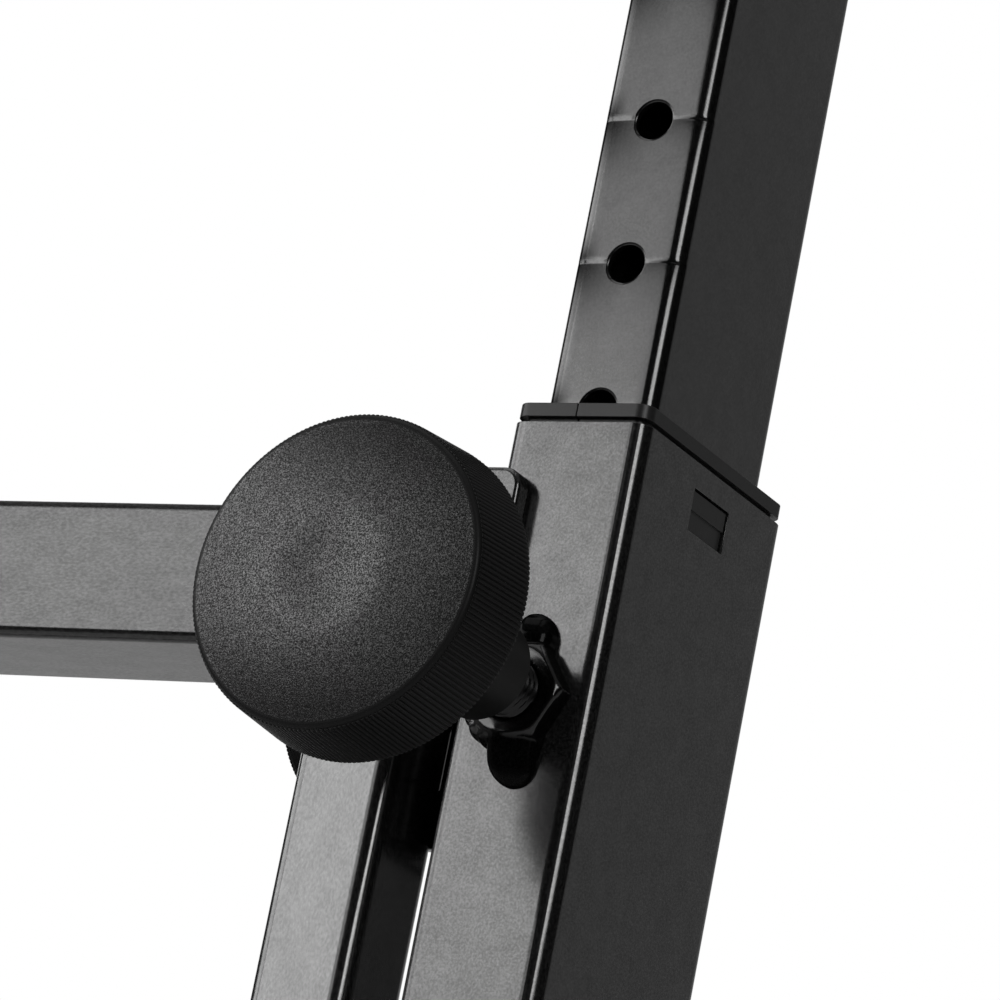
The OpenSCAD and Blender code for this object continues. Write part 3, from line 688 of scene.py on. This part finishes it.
def knob_profile():
    """Half of the knob's outline, from the hub's end to the middle of the crowned face."""
    hub_edge, hub_dish, fillet = 0.0006, 0.0004, 0.0008
    lip_drop, lip_in, lip_rise, lip_flat, face_rise = 0.0009, 0.0011, 0.0010, 0.0003, 0.00012
    back, front = HUB_LEN, HUB_LEN + KNOB_T
    profile = [(0, hub_dish), (HUB_R - hub_edge, 0), (HUB_R, hub_edge), (HUB_R, back - fillet),
               (HUB_R + fillet, back), (RIM_BACK - fillet, back), (RIM_BACK, back + fillet),
               (FACE_R, front - lip_drop)]
    for k in range(1, 9):
        a = math.radians(10 * k)
        profile.append((FACE_R - lip_in * (1 - math.cos(a)),
                        front - lip_drop + lip_rise * math.sin(a)))
    inner = profile[-1][0] - lip_flat
    for k in range(FACE_STEPS, -1, -1):
        share = k / FACE_STEPS
        crown = CROWN * (1 - share * share)
        dimple = DIMPLE * (1 - (share / DIMPLE_SHARE) ** 2) ** 2 if share < DIMPLE_SHARE else 0
        profile.append((share * inner, front + face_rise + crown - dimple))
    return profile


def rib_of(half, depth, length, taper):
    """One rib of the knurl: a low rounded bar that leans in with the rim's draft."""
    bm = bmesh.new()
    sunk = 0.0001
    section = [(-sunk, -half), (depth * 0.75, -half * 0.55), (depth, 0),
               (depth * 0.75, half * 0.55), (-sunk, half)]
    stations = ((0, 0, 0.35), (0.0006, 0, 1), (length - 0.0003, taper, 1), (length, taper, 0.5))
    rows = []
    for z, lean, low in stations:
        rows.append([bm.verts.new((x * low - lean, y, HUB_LEN + RIB_START + z))
                     for x, y in section])
    for a, b in zip(rows, rows[1:]):
        for k in range(len(section) - 1):
            bm.faces.new((a[k], a[k + 1], b[k + 1], b[k]))
    bm.faces.new(rows[0][::-1])
    bm.faces.new(rows[-1])
    bmesh.ops.recalc_face_normals(bm, faces=bm.faces)
    return ready("rib", bm)


knob_plastic = grained_plastic("knob_plastic", 0.005, 0.00028, 0.00003)
body = bmesh.new()
lathe(body, knob_profile(), Matrix.Identity(4), 160)
rib_bar = rib_of(RIB_HALF, RIB_DEPTH, KNOB_T - 0.0014, (RIM_BACK - FACE_R) * 0.95)
large_knob = ribbed(ready("knob_body", body), rib_bar, RIBS, RIM_BACK, knob_plastic)
grained = large_knob.attributes.new("grained", "FLOAT", "POINT")
for vertex in large_knob.vertices:
    x, y, z = vertex.co
    on_face = z > HUB_LEN + KNOB_T - GRAIN_DROP and math.hypot(x, y) < FACE_R - GRAIN_MARGIN
    grained.data[vertex.index].value = 1.0 if on_face else 0.0
KNOB_PLACES = {
    "height_knob": facing(0, -0.0155, -0.0553),
    "upper_width_knob": facing(WIDTH_SCREW_U, WIDTH_HUB_BACK, UPPER_BAR, True),
    "lower_width_knob": facing(WIDTH_SCREW_U, WIDTH_HUB_BACK, LOWER_BAR, True),
}
for name, place in KNOB_PLACES.items():
    right_knob = large_knob.copy()
    right_knob.transform(place)
    shown("knurled_" + name + "_right", right_knob, knob_plastic, [name + "_right"])
    shown("knurled_" + name + "_left", mirrored_mesh(right_knob, name + "_left"), knob_plastic,
          [name + "_left"])
for side in SIDES:
    dressed("lock_knob_" + side, knob_plastic, edge=0.0006)

# ---- Screws
# Black zinc-plated screws with a rolled thread; the height screw and the lock screw end in
# a plain tip that drops into a hole.


def plated(name, grey, roughness):
    """Black zinc plate: faintly cloudy, with fine turning marks."""
    zinc = Finish(name)
    at = zinc.place()
    cloud = zinc.noise(at, 0.004, 3)
    marks = zinc.noise(zinc.stretched(at, (1, 1, 6)), 0.0008, 2)
    colour = zinc.mixed(cloud, (grey * 0.8, grey * 0.8, grey * 0.82), (grey, grey, grey))
    return zinc.surface(Base_Color=colour, Metallic=1.0, Roughness=cloud * 0.15 + roughness,
                        Normal=zinc.bump(marks, 0.000006))


def threaded(radius, pitch, low, high, tip_radius, tip_high, matrix):
    """A screw along z whose thread is one true helix, with its tip at the high end."""
    bm = bmesh.new()
    around, per_turn, tip_edge = 28, 6, 0.0008
    depth = pitch * 0.5
    count = int((high - low) / pitch * per_turn)
    rows = [[(0, low)] * around]
    for i in range(count + 1):
        z = low + (high - low) * i / count
        row = []
        for k in range(around):
            phase = (z / pitch + k / around) % 1
            ridge = abs(phase - 0.5) * 2
            ends = min(1, (z - low) / pitch, (high - z) / pitch)
            row.append((radius - depth * (1 - ridge * ends) * 0.9, z))
        rows.append(row)
    if tip_radius:
        rows.append([(tip_radius, high + 0.0002)] * around)
        rows.append([(tip_radius, tip_high - tip_edge)] * around)
        rows.append([(tip_radius - tip_edge, tip_high)] * around)
        rows.append([(0, tip_high)] * around)
    else:
        rows.append([(0, high + 0.0003)] * around)
    rings = [[matrix @ Vector((r * math.cos(2 * math.pi * k / around),
                               r * math.sin(2 * math.pi * k / around), z))
              for k, (r, z) in enumerate(row)] for row in rows]
    loft(bm, rings)
    bmesh.ops.remove_doubles(bm, verts=bm.verts, dist=1e-7)
    bmesh.ops.recalc_face_normals(bm, faces=bm.faces)
    return ready("screw", bm)


screw_zinc = plated("screw_zinc", 0.022, 0.16)
UPRIGHT_U = -0.0397
LARGE_THREAD, SMALL_THREAD = (0.006, 0.00175), (0.004, 0.00125)
SCREWS = {
    "height_screw": threaded(*LARGE_THREAD, -0.040, -0.0015, 0.0029, 0.0055,
                             facing(0, 0, PIN_HOLE, True)),
    "lock_screw": threaded(*SMALL_THREAD, -0.0285, -0.0035, 0.003, 0.003,
                           facing(UPRIGHT_U, 0, LOWER_BAR, True)),
    "upper_width_screw": threaded(*LARGE_THREAD, -0.0578, -0.0256, 0, 0,
                                  facing(WIDTH_SCREW_U, 0, UPPER_BAR)),
    "lower_width_screw": threaded(*LARGE_THREAD, -0.0578, -0.0256, 0, 0,
                                  facing(WIDTH_SCREW_U, 0, LOWER_BAR)),
}
for name, mesh in SCREWS.items():
    shown("threaded_" + name + "_right", mesh, screw_zinc, [name + "_right"])
    shown("threaded_" + name + "_left", mirrored_mesh(mesh, name + "_left"), screw_zinc,
          [name + "_left"])

# ---- Nuts
# Hexagon nuts, welded on before the frame was painted. The height nut has a bead below and
# above it, and the paint has run over nut and beads alike.
# The nuts' paint takes painted shade from an attribute, which makes it mirror less there
nut_paint = black_paint("nut_paint", 0.00003, 0.000001, 0.0010, 0.34, 0.2, "painted_bead_shade")


def hexagon(bm, corner_r, height, bore_r, matrix, turned=0.0):
    """A nut along z, with its front corners turned to a cone."""
    flat_r = corner_r * math.cos(math.pi / 6)
    around = 72
    rings = []
    for z, limit in ((0, corner_r), (height - 0.0012, corner_r),
                     (height - 0.0004, corner_r - 0.0009), (height, corner_r - 0.0018)):
        ring = []
        for k in range(around):
            a = 2 * math.pi * k / around
            r = min(flat_r / math.cos(a % (math.pi / 3) - math.pi / 6), limit)
            ring.append(matrix @ Vector((r * math.cos(a + turned), r * math.sin(a + turned), z)))
        rings.append(ring)
    for z in (height, 0):
        rings.append([matrix @ Vector((bore_r * math.cos(2 * math.pi * k / around + turned),
                                       bore_r * math.sin(2 * math.pi * k / around + turned), z))
                      for k in range(around)])
    rings.append(rings[0])
    loft(bm, rings)
    bmesh.ops.remove_doubles(bm, verts=bm.verts, dist=1e-7)
    bmesh.ops.recalc_face_normals(bm, faces=bm.faces)


def weld_bead(bm, matrix, stations, lean):
    """A run of weld along y: (y, middle, half width, height) at each station.

    Its face is nearly flat and leans to one side, and its flanks are steep.
    """
    rings = []
    steps, sunk = 24, 0.0008
    for y, middle, half, height in stations:
        ring = []
        for k in range(steps + 1):
            t = -1 + 2 * k / steps
            rise = (1 - abs(t) ** 4) ** 0.5
            ring.append((middle + half * t, y, rise * (height - lean * half * t)))
        ring += [(middle + half, y, -sunk), (middle - half, y, -sunk)]
        rings.append([matrix @ Vector(p) for p in ring])
    rows = loft(bm, rings)
    bm.faces.new(rows[0][::-1])
    bm.faces.new(rows[-1])


def run_over(bm, voxel, rounds):
    """One skin over all the shapes in it, softened as thick paint softens them."""
    mesh = ready("welded", bm)
    made = bpy.data.objects.new("welded", mesh)
    scene.collection.objects.link(made)
    skin = made.modifiers.new("skin", "REMESH")
    skin.mode, skin.voxel_size = "VOXEL", voxel
    soft = made.modifiers.new("soft", "SMOOTH")
    soft.factor, soft.iterations = 0.5, rounds
    return evaluated("painted_weld", made)


height_nut = bmesh.new()
nut_seat = facing(0, 0, PIN_HOLE)
hexagon(height_nut, 0.0105, 0.0053, 0.00605, nut_seat, math.radians(4))
# The bead below the height nut, and the one above it
weld_bead(height_nut, nut_seat, [
    (-0.0075, 0.0008, 0.0058, 0.0050), (-0.0100, 0.0008, 0.0053, 0.0046),
    (-0.0120, 0.0007, 0.0051, 0.0040), (-0.0138, 0.0008, 0.0049, 0.0034),
    (-0.0153, 0.0010, 0.0044, 0.0029), (-0.0165, 0.0012, 0.0036, 0.0023),
    (-0.0174, 0.0014, 0.0025, 0.0016), (-0.0180, 0.0015, 0.0010, 0.0006)], 0.22)
weld_bead(height_nut, nut_seat, [
    (0.0078, 0.0012, 0.0040, 0.0044), (0.0100, 0.0014, 0.0034, 0.0042),
    (0.0118, 0.0013, 0.0037, 0.0042), (0.0134, 0.0010, 0.0036, 0.0038),
    (0.0148, 0.0007, 0.0030, 0.0031), (0.0158, 0.0004, 0.0020, 0.0021),
    (0.0165, 0.0002, 0.0007, 0.0007)], 0.25)
# A short run of weld drops beside the nut's lower corner, toward the stand's middle
DROP_SINK, DROP_H, VOXEL = 0.0002, 0.0046, 0.0003
for x, y, reach in ((-0.0092, -0.0028, 0.0018), (-0.0083, -0.0050, 0.0024),
                    (-0.0068, -0.0069, 0.0026), (-0.0048, -0.0086, 0.0022)):
    drop = bmesh.ops.create_icosphere(height_nut, subdivisions=3, radius=1.0)
    place = (nut_seat @ Matrix.Translation((x, y, DROP_SINK))
             @ Matrix.Diagonal((reach, reach, DROP_H, 1)))
    bmesh.ops.transform(height_nut, matrix=place, verts=drop["verts"])
lock_nut = bmesh.new()
hexagon(lock_nut, 0.0075, 0.0045, 0.00405, facing(UPRIGHT_U, -0.002, LOWER_BAR))
both_nuts = bmesh.new()
both_nuts.from_mesh(run_over(height_nut, VOXEL, 9))
both_nuts.from_mesh(run_over(lock_nut, VOXEL, 2))
right_nuts = ready("right_nuts", both_nuts)
# Painted shade: the paint mirrors less beyond 8 mm along the leg from the height nut's middle,
# which takes in its beads and the whole lock nut
painted_bead_shade = right_nuts.attributes.new("painted_bead_shade", "FLOAT", "POINT")
BEAD_DARK, BEAD_START, BEAD_RUN = 0.88, 0.0080, 0.0016
for vertex in right_nuts.vertices:
    spot = nut_seat.inverted() @ vertex.co
    painted_bead_shade.data[vertex.index].value = BEAD_DARK * clamped((abs(spot.y) - BEAD_START) / BEAD_RUN)
shown("welded_nuts_right", right_nuts, nut_paint, ["weld_nuts_right"])
shown("welded_nuts_left", mirrored_mesh(right_nuts, "left_nuts"), nut_paint, ["weld_nuts_left"])
dressed("width_nuts", nut_paint, edge=0.0005)

# ---- Middle frame
# Two crossbars of square tube, an upright bar at each end on slide bars, and plastic
# guides and plugs in the tubes' mouths.
CROSS_W, CROSS_R, UPRIGHT_W, UPRIGHT_R = 0.029, 0.0018, 0.022, 0.003
bar_paint = black_paint("bar_paint", 0.00004, 0.000002, 0.007, 0.38, 1.1, drawn=(0.5, 1, 1))
upright_paint = black_paint("upright_paint", 0.00003, 0.000002, 0.007, 0.70, 0.9,
                            drawn=(1, 1, 0.45))
guide_nylon = moulded("guide_nylon", 0.020)
for name, drop in (("upper_crossbar", UPPER_BAR), ("lower_crossbar", LOWER_BAR)):
    tube = (on_leg(0, CROSS_W / 2, drop), BACK, ALONG, CROSS_W, CROSS_W, CROSS_R)
    dressed(name, bar_paint, edge=0.0003, tube=tube)
dressed("crossbar_guides", guide_nylon, edge=0.0004)
for side in SIDES:
    for bar in ("upper_slide_bar_", "lower_slide_bar_"):
        dressed(bar + side, bar_paint)
    middle = on_side(side, on_leg(UPRIGHT_U, CROSS_W / 2, 0))
    tube = (middle, OUT, BACK, UPRIGHT_W, UPRIGHT_W, UPRIGHT_R)
    dressed("upright_" + side, upright_paint, edge=0.0003, tube=tube)
    dressed("frame_plugs_" + side, guide_nylon, edge=0.0005)

# ---- Hinges and brackets
# Folded steel leaves on a plated pin let the leg swing back; dished brackets at the front
# stop it, each on a rubber pad.
rubber = moulded("black_rubber", 0.016, 0.0006, 0.00003, 0.62)
for side in SIDES:
    dressed("frame_hinge_leaves_" + side, bar_paint, edge=0.0003)
    dressed("leg_hinge_leaves_" + side, bar_paint, edge=0.0003)
    dressed("hinge_pins_" + side, screw_zinc, edge=0.0003)
    dressed("stop_brackets_" + side, leg_paint, edge=0.0010)
    dressed("stop_pads_" + side, rubber, edge=0.0005)

# ---- Floor tubes and boots
# The leg's foot stands on a box tube that lies on the floor in two rubber boots.
for side in SIDES:
    dressed("floor_tube_" + side, leg_paint)
    dressed("floor_boots_" + side, rubber, edge=0.0010)

# ---- Support arms
# A level box tube is welded on each inner leg, with a stop lip on its front end and two
# rubber saddles that the keyboard lies on.
for side in SIDES:
    dressed("support_arm_" + side, leg_paint)
    dressed("arm_caps_" + side, rubber, edge=0.0008)
    dressed("arm_pads_" + side, rubber, edge=0.0006)
    dressed("inner_leg_glide_" + side, guide_nylon, edge=0.0004)
